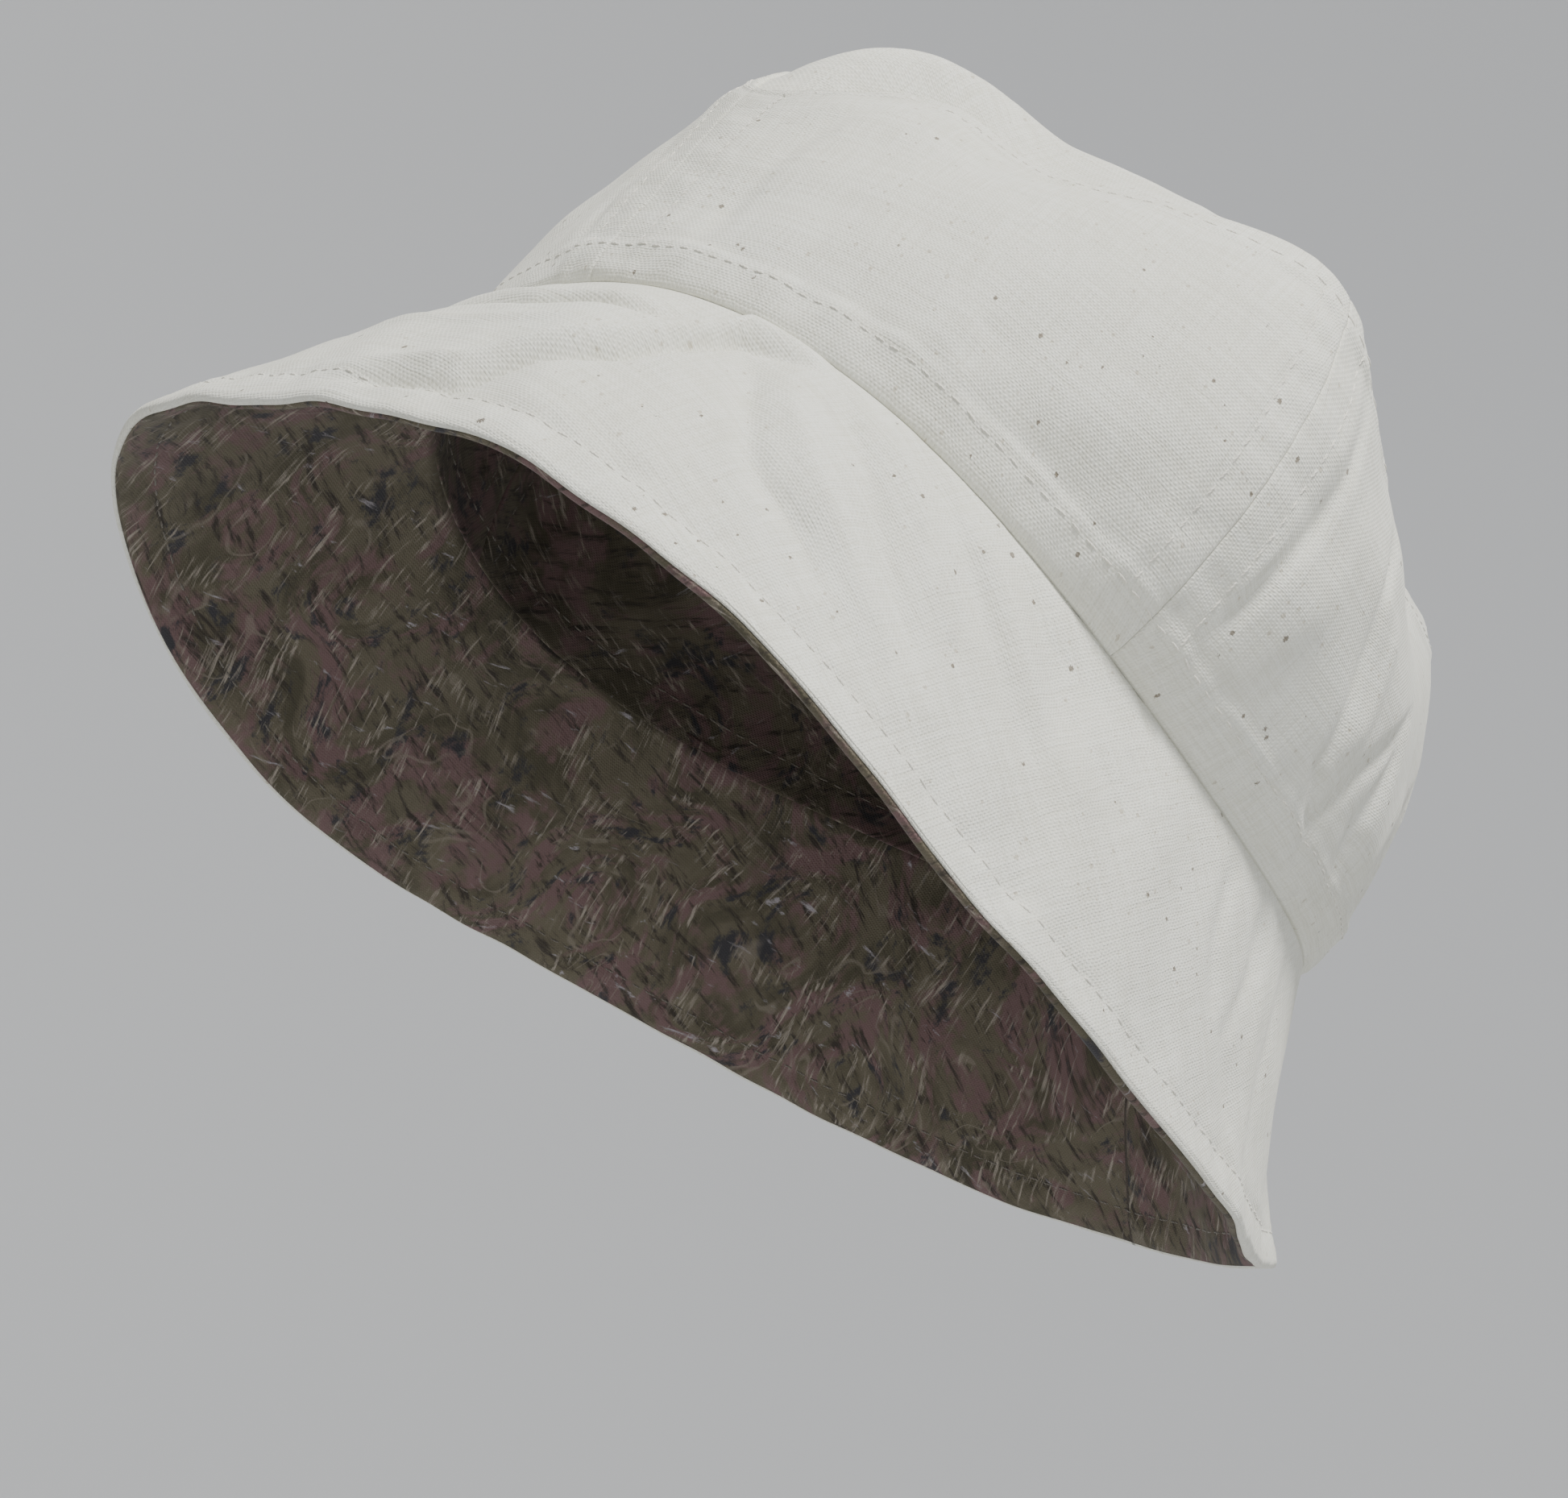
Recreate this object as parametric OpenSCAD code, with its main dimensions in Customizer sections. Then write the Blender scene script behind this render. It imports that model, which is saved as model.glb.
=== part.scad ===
// Reversible bucket hat, worn shape.
//
// Frame: +Z up along the crown, -Y to the wearer's front, +X to the wearer's left.
// Origin: the centre of the head opening, at the seam between crown and brim.
//
// The cloth is built on two smooth surfaces that meet at the head seam: the crown wall
// rises from it and the brim hangs from it. A place on either is given by its turn
// (degrees round the head, 0 at the front, 90 at the wearer's left), its way along the
// cloth (0 at the head seam, 1 at the far edge), and its lift off the surface in mm.
// Each layer of cloth is a thin shell between two lifts, and each row of stitching is
// a fine tube laid on the cloth.

/* [Head opening] */
// Distance round the outside of the head seam
head_round = 565; // [520:1:620]
// Length of the opening from front to back, divided by its width
head_oval = 1.05; // [1.0:0.01:1.25]
// How far the head seam rises at front and back, and dips at the sides
seam_rise = 8.5; // [0:0.5:12]

/* [Crown] */
// Height of a side panel, measured along the cloth
panel_height = 72; // [60:1:90]
// Turn at which the first panel seam stands
first_seam = -10; // [-36:1:36]
// How far the side panels lean in, on average (degrees)
lean = 14.5; // [5:0.5:20]
// How much straighter the crown stands at the panel seams than between them (degrees)
seam_stiffness = 4; // [0:0.5:6]
// Three-fold waviness of the lean, which makes the crown fuller over the forehead's sides
lean_wave = 4; // [0:0.5:6]
// How far the middle of a panel bulges outward
crown_bulge = 9.5; // [0:0.5:12]
// How much more the panels bulge at the sides than at front and back
side_bulge = 3.5; // [0:0.5:6]
// Height of the tip's middle above its rim
tip_dome = 11; // [4:0.5:16]

/* [Brim] */
// Width of the brim, measured along the cloth
brim_width = 56; // [45:1:75]
// Angle between the brim and straight down, on average (degrees)
flare = 30.5; // [20:0.5:38]
// How much more the brim flares at the back than at the front
flare_back = 2.5; // [0:0.5:6]
// How much more the brim flares at the wearer's right than at the left
flare_right = 5.5; // [0:0.5:6]
// How much more the brim flares at front and back than at the sides
flare_ends = 4; // [0:0.5:6]
// How much the brim droops towards front left and back right
flare_twist = 2.5; // [0:0.5:6]
// How far the brim arches outward at the front, and inward at the back
brim_arch = 3; // [0:0.5:5]

/* [Cloth] */
// Thickness of the outer calico
outer_cloth = 0.6; // [0.4:0.05:0.8]
// Thickness of the printed lining
lining_cloth = 0.5; // [0.3:0.05:0.6]
// Thickness of the stiffener in the brim
stiffener = 0.6; // [0.4:0.05:0.8]
// Air between two layers
layer_gap = 0.3; // [0.2:0.05:0.4]

/* [Stitching] */
// Thickness of the sewing thread
thread = 0.4; // [0.3:0.05:0.5]
// Distance from a panel seam to the row on either side of it
seam_margin = 6; // [4:0.5:8]
// Distance from the head seam up to the row that holds its allowances
band_margin = 6.5; // [5:0.5:9]
// Distance from the tip seam down to its row
tip_margin = 5; // [3:0.5:7]
// Distance from the brim's edge in to its row
edge_margin = 7.5; // [5:0.5:10]

/* [Hidden] */
FULL = 360;
PANELS = 5;
panel_turn = FULL / PANELS;

// Where each layer lies, as the lift of its outer face off the surface.
crown_lining_lift = -(outer_cloth + 1.5 * layer_gap);
stiffener_lift = -(outer_cloth + layer_gap);
brim_lining_lift = stiffener_lift - stiffener - layer_gap;

// Room left between two neighbouring pieces of cloth.
join_gap = 0.3;
// Room that the panels leave under the rim of the tip.
tip_seat = outer_cloth + 0.5;
// How far the stiffener stops short of the edge, so that the two cloths can be sewn round it.
stiffener_inset = 1.5;
// The least room between a thread and the cloth or thread under it.
thread_gap = 0.1;
// A row that crosses others lies this far above them.
crossing_lift = thread + 1.5 * thread_gap;
// The share of a panel's height where the rows beside its seams start and stop.
climb_start = 0.02;
climb_end = 0.96;
// The middle of the tip is one flat fan, with this share of the tip's size.
tip_fan = 0.2;

// Half the length and half the width of the head opening, from its round.
oval_h = pow((head_oval - 1) / (head_oval + 1), 2);
oval_factor = (1 + head_oval) * (1 + 3 * oval_h / (10 + sqrt(4 - 3 * oval_h)));
half_width = head_round / PI / oval_factor;
half_length = half_width * head_oval;

// How finely the cloth is divided round the head and along its height.
BRIM_STEPS = 60;
LINING_STEPS = 48;
TIP_STEPS = 50;
TIP_RINGS = 4;
PANEL_STEPS = 9;
HEIGHT_STEPS = 6;
ROW_STEPS = 72;

CREAM = "#E6E1D0";
PRINT = "#7D7263";
INTERLINING = "#F4F3EE";
THREAD_WHITE = "#F3F0E6";
THREAD_GREY = "#8D8577";

// ---- The two surfaces ----

// Unit vector pointing straight out of the head opening.
function outward(turn) =
    let (v = [sin(turn) / half_width, -cos(turn) / half_length, 0]) v / norm(v);

function seam_point(turn) =
    [half_width * sin(turn), -half_length * cos(turn), seam_rise * cos(2 * turn)];

// Angle between the brim and straight down.
function flare_at(turn) =
    flare - flare_back * cos(turn) - flare_right * sin(turn)
    + flare_ends * cos(2 * turn) - flare_twist * sin(2 * turn);

// Angle between a side panel and straight up.
function lean_at(turn) =
    lean + lean_wave * cos(3 * turn) - seam_stiffness * cos(PANELS * (turn - first_seam));

function bulge_at(turn) = crown_bulge - side_bulge * cos(2 * turn);

// A point on a surface that leaves the seam along `along` and faces `face`.
function cloth_point(turn, reach, way, along, face, bow, lift) =
    seam_point(turn) + reach * way * along + (lift + 4 * bow * way * (1 - way)) * face;

function brim_point(turn, way, lift = 0) =
    let (f = flare_at(turn), o = outward(turn))
    cloth_point(
        turn, brim_width, way,
        sin(f) * o - [0, 0, cos(f)], cos(f) * o + [0, 0, sin(f)],
        brim_arch * cos(turn), lift
    );

function crown_point(turn, way, lift = 0) =
    let (a = lean_at(turn), o = outward(turn))
    cloth_point(
        turn, panel_height, way,
        -sin(a) * o + [0, 0, cos(a)], cos(a) * o + [0, 0, sin(a)],
        bulge_at(turn), lift
    );

// The tip's rim is the crown wall's top edge, and its middle is the mean of that edge.
function mean(points) = [for (p = points) 1] * points / len(points);
tip_centre = mean([for (i = [0:TIP_STEPS - 1]) crown_point(i * FULL / TIP_STEPS, 1)]);

// A point on the tip: `way` is 1 at the rim and 0 in the middle.
function tip_point(turn, way, lift = 0) =
    let (arm = crown_point(turn, 1) - tip_centre)
    tip_centre + way * arm * (1 + lift / norm(arm)) + [0, 0, tip_dome * (1 - way * way) + lift];

// The turn that lies `distance` along the cloth from `turn`, at a height up the crown.
function turn_beside(turn, way, distance) =
    let (p = crown_point(turn, way)) turn + distance / norm([p.x, p.y]) * 180 / PI;

// ---- Solids made from points on the surfaces ----

function steps(from, to, count) = [for (i = [0:count]) from + (to - from) * i / count];
function flat_list(lists) = [for (l = lists) each l];

// Two triangles for each square of a grid of `rows` by `columns` points from `first`.
function grid_faces(first, rows, columns, flip) = [
    for (i = [0:rows - 2], j = [0:columns - 2])
        let (
            a = first + i * columns + j,
            b = a + columns,
            square = [[a, b, b + 1], [a, b + 1, a + 1]]
        )
        each [for (face = square) flip ? [face.z, face.y, face.x] : face]
];

// Triangles that join two equal loops of points, given as index lists.
function loop_faces(one, two) = [
    for (i = [0:len(one) - 1])
        let (k = (i + 1) % len(one))
        each [[one[i], two[i], two[k]], [one[i], two[k], one[k]]]
];

// The points round the border of a grid, in order.
function border(rows, columns) = concat(
    [for (j = [0:columns - 1]) j],
    [for (i = [1:rows - 1]) i * columns + columns - 1],
    [for (j = [columns - 2:-1:0]) (rows - 1) * columns + j],
    [for (i = [rows - 2:-1:1]) i * columns]
);

// A patch of cloth: two matching grids of points, closed round the border.
module patch(outer, inner) {
    rows = len(outer);
    columns = len(outer[0]);
    count = rows * columns;
    edge = border(rows, columns);
    polyhedron(
        concat(flat_list(outer), flat_list(inner)),
        concat(
            grid_faces(0, rows, columns, true),
            grid_faces(count, rows, columns, false),
            loop_faces(edge, [for (e = edge) e + count])
        )
    );
}

// A closed ring: the same section of points repeated at every turn of a full circle.
module ring(sections) {
    turns = len(sections);
    size = len(sections[0]);
    polyhedron(
        flat_list(sections),
        [for (i = [0:turns - 1])
            let (k = (i + 1) % turns)
            each loop_faces(
                [for (j = [0:size - 1]) k * size + j],
                [for (j = [0:size - 1]) i * size + j]
            )]
    );
}

// A thread with two ends: the sections are joined in order and capped.
module strand(sections) {
    size = len(sections[0]);
    last = len(sections) - 1;
    polyhedron(
        flat_list(sections),
        concat(
            [[for (j = [0:size - 1]) j]],
            [for (i = [0:last - 1]) each loop_faces(
                [for (j = [0:size - 1]) i * size + j],
                [for (j = [0:size - 1]) (i + 1) * size + j]
            )],
            [[for (j = [size - 1:-1:0]) last * size + j]]
        )
    );
}

// ---- Pieces of cloth ----

// One side panel between two panel seams, for the lift of its outer face.
module panel(index, lift, thickness) {
    start = first_seam + (index - 1) * panel_turn;
    half_gap = join_gap / 2 / half_width * 180 / PI;
    turns = steps(start + half_gap, start + panel_turn - half_gap, PANEL_STEPS);
    ways = steps(join_gap / panel_height, 1 - (tip_seat - lift) / panel_height, HEIGHT_STEPS);
    patch(
        [for (t = turns) [for (w = ways) crown_point(t, w, lift)]],
        [for (t = turns) [for (w = ways) crown_point(t, w, lift - thickness)]]
    );
}

// The brim, a cone in one piece: its section goes down the outer face and up the inner one.
module brim(lift, thickness, turns, inset = 0) {
    ways = steps(join_gap / brim_width, 1 - inset / brim_width, HEIGHT_STEPS);
    ring([for (i = [0:turns - 1])
        let (t = i * FULL / turns)
        concat(
            [for (w = ways) brim_point(t, w, lift)],
            [for (k = [HEIGHT_STEPS:-1:0]) brim_point(t, ways[k], lift - thickness)]
        )]);
}

// The oval tip, a shallow dome: rings of points on each face round a middle point.
module tip(lift, thickness) {
    rings = steps(1, tip_fan, TIP_RINGS);
    count = len(rings) * TIP_STEPS;
    function face_points(l) = [
        for (w = rings, i = [0:TIP_STEPS - 1]) tip_point(i * FULL / TIP_STEPS, w, l)
    ];
    function loop(first) = [for (i = [0:TIP_STEPS - 1]) first + i];
    function dome_faces(first, flip) = [
        for (k = [0:len(rings) - 2])
            let (a = loop(first + k * TIP_STEPS), b = loop(first + (k + 1) * TIP_STEPS))
            each flip ? loop_faces(b, a) : loop_faces(a, b)
    ];
    function fan(first, middle, flip) = [
        for (i = [0:TIP_STEPS - 1])
            let (a = first + i, b = first + (i + 1) % TIP_STEPS)
            flip ? [a, b, middle] : [b, a, middle]
    ];
    inner_ring = (len(rings) - 1) * TIP_STEPS;
    polyhedron(
        concat(
            face_points(lift), face_points(lift - thickness),
            [tip_point(0, 0, lift), tip_point(0, 0, lift - thickness)]
        ),
        concat(
            dome_faces(0, false), fan(inner_ring, 2 * count, false),
            dome_faces(count, true), fan(count + inner_ring, 2 * count + 1, true),
            loop_faces(loop(count), loop(0))
        )
    );
}

// ---- Rows of stitching ----

// The four corners of a thread laid on the crown wall or on the brim.
function crown_section(turn, way, lift) = [
    crown_point(turn, way, lift + thread / 2),
    crown_point(turn, way + thread / 2 / panel_height, lift),
    crown_point(turn, way, lift - thread / 2),
    crown_point(turn, way - thread / 2 / panel_height, lift)
];
function brim_section(turn, way, lift) = [
    brim_point(turn, way, lift + thread / 2),
    brim_point(turn, way - thread / 2 / brim_width, lift),
    brim_point(turn, way, lift - thread / 2),
    brim_point(turn, way + thread / 2 / brim_width, lift)
];

// A row round the crown, a distance above the head seam.
module crown_row(height, lift) {
    ring([for (i = [0:ROW_STEPS - 1])
        crown_section(i * FULL / ROW_STEPS, height / panel_height, lift)]);
}

module brim_row(inset, lift) {
    ring([for (i = [0:ROW_STEPS - 1])
        brim_section(i * FULL / ROW_STEPS, 1 - inset / brim_width, lift)]);
}

// A row that climbs the crown beside a panel seam.
module climbing_row(seam, distance, lift) {
    half_turn = thread / 2 / half_width * 180 / PI;
    strand([for (w = steps(climb_start, climb_end, HEIGHT_STEPS + 2))
        let (t = turn_beside(seam, w, distance))
        [
            crown_point(t, w, lift + thread / 2),
            crown_point(t + half_turn, w, lift),
            crown_point(t, w, lift - thread / 2),
            crown_point(t - half_turn, w, lift)
        ]]);
}

// Both rows at every panel seam.
module panel_rows(lift) {
    for (i = [0:PANELS - 1], side = [-1, 1]) {
        climbing_row(first_seam + i * panel_turn, side * seam_margin, lift);
    }
}

// How far a thread's middle lies from the cloth that it rests on.
rest_lift = thread / 2 + thread_gap;
crown_inside = crown_lining_lift - lining_cloth - rest_lift;
brim_inside = brim_lining_lift - lining_cloth - rest_lift;

// ---- The sub-parts ----

module outer_panel(index) {
    color(CREAM) panel(index, 0, outer_cloth);
}

module lining_panel(index) {
    color(PRINT) panel(index, crown_lining_lift, lining_cloth);
}

module outer_tip() {
    color(CREAM) tip(0, outer_cloth);
}

module lining_tip() {
    color(PRINT) tip(crown_lining_lift, lining_cloth);
}

module outer_brim() {
    color(CREAM) brim(0, outer_cloth, BRIM_STEPS);
}

module lining_brim() {
    color(PRINT) brim(brim_lining_lift, lining_cloth, LINING_STEPS);
}

module brim_stiffener() {
    color(INTERLINING) brim(stiffener_lift, stiffener, BRIM_STEPS, stiffener_inset);
}

module panel_topstitching() {
    color(THREAD_WHITE) panel_rows(rest_lift);
}

module tip_topstitching() {
    color(THREAD_WHITE) crown_row(panel_height - tip_margin, rest_lift + crossing_lift);
}

module band_topstitching() {
    color(THREAD_WHITE) crown_row(band_margin, rest_lift + crossing_lift);
}

module brim_edge_topstitching() {
    color(THREAD_WHITE) brim_row(edge_margin, rest_lift);
}

module lining_panel_topstitching() {
    color(THREAD_GREY) panel_rows(crown_inside);
}

module lining_tip_topstitching() {
    color(THREAD_GREY) crown_row(panel_height - tip_margin, crown_inside - crossing_lift);
}

module lining_band_topstitching() {
    color(THREAD_GREY) crown_row(band_margin, crown_inside - crossing_lift);
}

module brim_edge_bobbin_thread() {
    color(THREAD_GREY) brim_row(edge_margin, brim_inside);
}

for (i = [1:PANELS]) {
    outer_panel(i);
    lining_panel(i);
}
outer_tip();
outer_brim();
lining_tip();
lining_brim();
brim_stiffener();
panel_topstitching();
tip_topstitching();
band_topstitching();
brim_edge_topstitching();
lining_panel_topstitching();
lining_tip_topstitching();
lining_band_topstitching();
brim_edge_bobbin_thread();
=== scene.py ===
"""Reversible bucket hat in its worn shape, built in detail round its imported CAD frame.

Calico outside, printed cotton inside. The cloth follows the two surfaces that the CAD
model is drawn on: the crown wall rises from the head seam and the brim hangs from it. A
place on either has a turn (degrees round the head, 0 at the front, 90 at the wearer's
left), a way (0 at the head seam, 1 at the far edge) and a lift off the surface. Shapes
are worked out in millimetres, as in the CAD model, and each mesh is made in metres.
"""

import math

import bpy
import numpy as np
from mathutils import Matrix, Vector


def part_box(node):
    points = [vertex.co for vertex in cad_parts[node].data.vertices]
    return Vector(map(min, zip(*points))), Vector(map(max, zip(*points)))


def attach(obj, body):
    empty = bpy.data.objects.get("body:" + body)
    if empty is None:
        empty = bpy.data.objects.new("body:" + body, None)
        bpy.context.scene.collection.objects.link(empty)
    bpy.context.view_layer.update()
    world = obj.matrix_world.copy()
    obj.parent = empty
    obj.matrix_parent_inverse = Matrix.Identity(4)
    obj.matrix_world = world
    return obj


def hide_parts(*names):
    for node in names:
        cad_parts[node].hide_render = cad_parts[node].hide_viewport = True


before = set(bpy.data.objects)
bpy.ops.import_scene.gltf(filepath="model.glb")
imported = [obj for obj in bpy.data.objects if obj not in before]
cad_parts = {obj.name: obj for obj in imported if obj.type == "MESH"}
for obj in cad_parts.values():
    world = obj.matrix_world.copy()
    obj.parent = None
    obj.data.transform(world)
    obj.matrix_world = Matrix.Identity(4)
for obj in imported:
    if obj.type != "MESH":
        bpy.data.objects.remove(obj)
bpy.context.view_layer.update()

MM = 0.001

# ---- Driving values, in millimetres and degrees, the same as in the CAD model ----
HEAD_ROUND = 565.0
HEAD_OVAL = 1.05
PANEL_HEIGHT = 72.0
BRIM_WIDTH = 56.0
TIP_DOME = 11.0
PANELS = 5
FIRST_SEAM = -10.0
PANEL_TURN = 360.0 / PANELS
OUTER_CLOTH = 0.6
LINING_CLOTH = 0.5
STIFFENER = 0.6
STIFFENER_LIFT = -0.9
BRIM_LINING_LIFT = -1.8
CROWN_LINING_LIFT = -1.5
SEAM_MARGIN = 6.0
BAND_MARGIN = 6.5
TIP_MARGIN = 5.0
EDGE_MARGIN = 7.5

# The same waves round the head as in the CAD model, and the finer ones of the worn hat:
# {how many times round: size}, first the cosines and then the sines.
SEAM_HEIGHT = ({2: 8.5, 3: 0.8, 4: -0.2}, {2: 0.5, 3: 0.4, 4: 0.5})
SEAM_OUT = ({3: -0.9}, {})
FLARE = ({0: 30.5, 1: -2.5, 2: 4.0, 3: -2.0, 4: -0.9}, {1: -5.5, 2: -2.5, 4: -0.8, 5: 3.1})
LEAN = ({0: 14.3, 1: -0.1, 2: 2.1, 3: 4.3}, {1: -0.4, 2: 0.7, 3: 0.3})
SEAM_STIFFNESS = 5.0
BULGE = ({0: 9.5, 1: 0.1, 2: -3.5}, {1: 0.9, 2: 2.2})
BRIM_ARCH = ({1: 3.0}, {1: 0.5})

# Where the crown's soft top edge is pushed out of shape, as (middle turn, spread in
# degrees, how far outward, how far up): it slumps at the front, and corners stand out.
RIM_PUSHES = [
    (-9.5, 10.2, 13.6, -21.7), (19.4, 30.0, 1.3, -6.6), (58.3, 9.0, 3.8, 2.2),
    (75.3, 8.2, -1.4, -1.1), (127.0, 15.0, 0.1, -2.4),
]
# Where the tip puffs up: (middle turn, spread, rise, distance inside the rim, its spread).
TIP_PUFFS = [(2.2, 28.5, 7.3, 4.5, 10.8), (71.8, 9.2, 0.7, 7.0, 7.0)]
# The brim's edge curls in behind the left ear: (middle turn, spread, how far).
EAR_CURL = (140.0, 22.0, 6.0)

# ---- Cloth details, in millimetres ----
STITCH_PITCH = 3.1
STITCH_LENGTH = 2.45
STITCH_RADIUS = 0.18
ALLOWANCE = 9.0          # how far a seam's turned-in cloth reaches beside it
BAND_ALLOWANCE = 8.2
TIP_ALLOWANCE = 7.4
EDGE_RADIUS = 1.2        # half the thickness of the brim's rolled edge
SIDE_GAP = 0.03          # half the room between two panels
END_GAP = 0.08           # from a piece to the seam above or below it

# How cloth rolls into each seam: (how deep, over what distance).
PANEL_ROLL = (0.42, 0.75)
TIP_ROLL = (0.35, 0.6)
HEAD_ROLL = (0.5, 0.5)
LINING_ROLL = (0.5, 0.9)
BACK_ROLL = (0.45, 0.8)
LINING_BACK_ROLL = (0.4, 0.8)

# How high the turned-in cloth lifts the face beside a panel, head, tip and back seam.
CALICO_LIFTS = (0.42, 0.72, 0.55, 0.3)
LINING_LIFTS = (0.3, 0.4, 0.35, 0.25)
LIFT_SOFTNESS = 0.6      # the distance over which such a lift fades

# How deep the rows of stitching sink: beside a panel seam, the head seam and the tip seam.
CALICO_GROOVES = (0.2, 0.12, 0.18)
LINING_GROOVES = (0.25, 0.3, 0.3)
EDGE_GROOVE = 0.22
GROOVE_HALF_WIDTH = 0.85

# About how many millimetres one degree of turn is on the crown, the brim and its edge row.
CROWN_DEGREE = 1.5
BRIM_DEGREE = 1.75
EDGE_DEGREE = 2.0


def oval():
    """Half the width and half the length of the head opening."""
    h = ((HEAD_OVAL - 1) / (HEAD_OVAL + 1)) ** 2
    factor = (1 + HEAD_OVAL) * (1 + 3 * h / (10 + math.sqrt(4 - 3 * h)))
    half_width = HEAD_ROUND / math.pi / factor
    return half_width, half_width * HEAD_OVAL


HALF_WIDTH, HALF_LENGTH = oval()
UP = np.array([0.0, 0.0, 1.0])

# ---- The surfaces ----


def cos(degrees):
    return np.cos(np.radians(degrees))


def sin(degrees):
    return np.sin(np.radians(degrees))


def waves(turn, sizes):
    """A sum of waves round the head."""
    cosines, sines = sizes
    total = sum(size * cos(n * turn) for n, size in cosines.items())
    return total + sum(size * sin(n * turn) for n, size in sines.items())


def tall(values):
    """Numbers with one more axis, so that they multiply vectors."""
    return np.asarray(values)[..., None]


def bell(distance, half_width):
    return np.exp(-((distance / half_width) ** 2))


def around(turn, middle):
    """Degrees from a middle turn, -180 to 180."""
    return (turn - middle + 180) % 360 - 180


def near(turn, middle, spread):
    """1 at a middle turn, and 0 well beyond its spread."""
    return bell(around(turn, middle), spread)


def outward(turn):
    v = np.stack([sin(turn) / HALF_WIDTH, -cos(turn) / HALF_LENGTH, 0 * turn], -1)
    return v / np.linalg.norm(v, axis=-1, keepdims=True)


def seam_point(turn):
    oval_line = np.stack(
        [HALF_WIDTH * sin(turn), -HALF_LENGTH * cos(turn), waves(turn, SEAM_HEIGHT)], -1
    )
    return oval_line + tall(waves(turn, SEAM_OUT)) * outward(turn)


def brim_face(turn):
    f = waves(turn, FLARE)
    return tall(cos(f)) * outward(turn) + tall(sin(f)) * UP


def brim_point(turn, way, lift=0.0):
    f = waves(turn, FLARE)
    along = tall(sin(f)) * outward(turn) - tall(cos(f)) * UP
    lift = lift + 4 * waves(turn, BRIM_ARCH) * way * (1 - way)
    middle, spread, curl = EAR_CURL
    reach = BRIM_WIDTH * way - curl * near(turn, middle, spread) * way * way
    return seam_point(turn) + tall(reach) * along + tall(lift) * brim_face(turn)


def lean(turn):
    return waves(turn, LEAN) - SEAM_STIFFNESS * cos(PANELS * (turn - FIRST_SEAM))


def crown_face(turn):
    a = lean(turn)
    return tall(cos(a)) * outward(turn) + tall(sin(a)) * UP


def rim_push(turn):
    """How far the crown's top edge is pushed out of shape."""
    total = 0 * UP
    for middle, spread, out, rise in RIM_PUSHES:
        total = total + tall(near(turn, middle, spread)) * (out * outward(turn) + rise * UP)
    return total


def crown_point(turn, way, lift=0.0):
    a = lean(turn)
    along = tall(cos(a)) * UP - tall(sin(a)) * outward(turn)
    lift = lift + 4 * waves(turn, BULGE) * way * (1 - way)
    wall = seam_point(turn) + PANEL_HEIGHT * tall(way) * along
    return wall + tall(lift) * crown_face(turn) + tall(way * way) * rim_push(turn)


RIM = crown_point(np.arange(0.0, 360.0, 1.0), 1.0)
TIP_CENTRE = RIM.mean(0)


def tip_point(turn, way, lift=0.0):
    """A place on the tip: way is 1 at its rim and 0 in the middle."""
    push = rim_push(turn)
    arm = crown_point(turn, 1.0) - push - TIP_CENTRE
    reach = np.linalg.norm(arm, axis=-1)
    height = TIP_DOME * (1 - way * way) + lift
    dome = TIP_CENTRE + tall(way * (1 + lift / reach)) * arm + tall(height) * UP
    return dome + tall(way**4) * push


def mm_per_degree(turn, way):
    """How far one degree of turn reaches along the crown wall."""
    p = crown_point(turn, way)
    return np.hypot(p[..., 0], p[..., 1]) * math.pi / 180


# ---- Relief: how the cloth lies above or below its smooth surface ----


def plateau(distance, reach):
    """1 within a reach, 0 beyond it."""
    return 0.5 - 0.5 * np.tanh((distance - reach) / LIFT_SOFTNESS)


def turned_under(distance, depth, radius):
    """How far cloth has rolled down, close to the seam that it turns into."""
    left = np.clip(1 - distance / radius, 0, 1)
    almost_upright = 0.98
    return -depth * (1 - np.sqrt(1 - left * left * almost_upright))


def ripple(points, wavelength, seed, count=14):
    """Smooth unevenness with a size near 1, the same at each run."""
    random = np.random.default_rng(seed)
    heading = random.normal(size=(count, 3))
    heading /= np.linalg.norm(heading, axis=1, keepdims=True)
    pace = 2 * math.pi / wavelength * random.uniform(0.75, 1.35, count)
    start = random.uniform(0, 2 * math.pi, count)
    total = np.zeros(points.shape[:-1])
    for direction, k, phase in zip(heading, pace, start):
        total += np.sin(k * (points @ direction) + phase)
    return total / math.sqrt(count / 2)


def nearest_on_line(x, y, line):
    """Each place's distance from a line with corners, and its share of the line's length."""
    pieces = [(np.array(a), np.array(b)) for a, b in zip(line[:-1], line[1:])]
    lengths = [np.linalg.norm(b - a) for a, b in pieces]
    best = np.full(np.shape(x), np.inf)
    share = np.zeros(np.shape(x))
    done = 0.0
    for (a, b), length in zip(pieces, lengths):
        step = b - a
        s = np.clip(((x - a[0]) * step[0] + (y - a[1]) * step[1]) / length**2, 0, 1)
        distance = np.hypot(x - a[0] - s * step[0], y - a[1] - s * step[1])
        closer = distance < best
        best = np.where(closer, distance, best)
        share = np.where(closer, (done + s * length) / sum(lengths), share)
        done += length
    return best, share


def folds(turn, way, lines, degree, height):
    """Creases and ridges. degree and height are the millimetres in a degree and in the way."""
    turn = around(turn, 0)
    total = np.zeros(np.shape(turn))
    for line, depth, half_width in lines:
        flat = [(t * degree, w * height) for t, w in line]
        distance, share = nearest_on_line(turn * degree, way * height, flat)
        fade = np.clip(6 * share * (1 - share), 0, 1)
        total += depth * bell(distance, half_width) * fade
    return total


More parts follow.
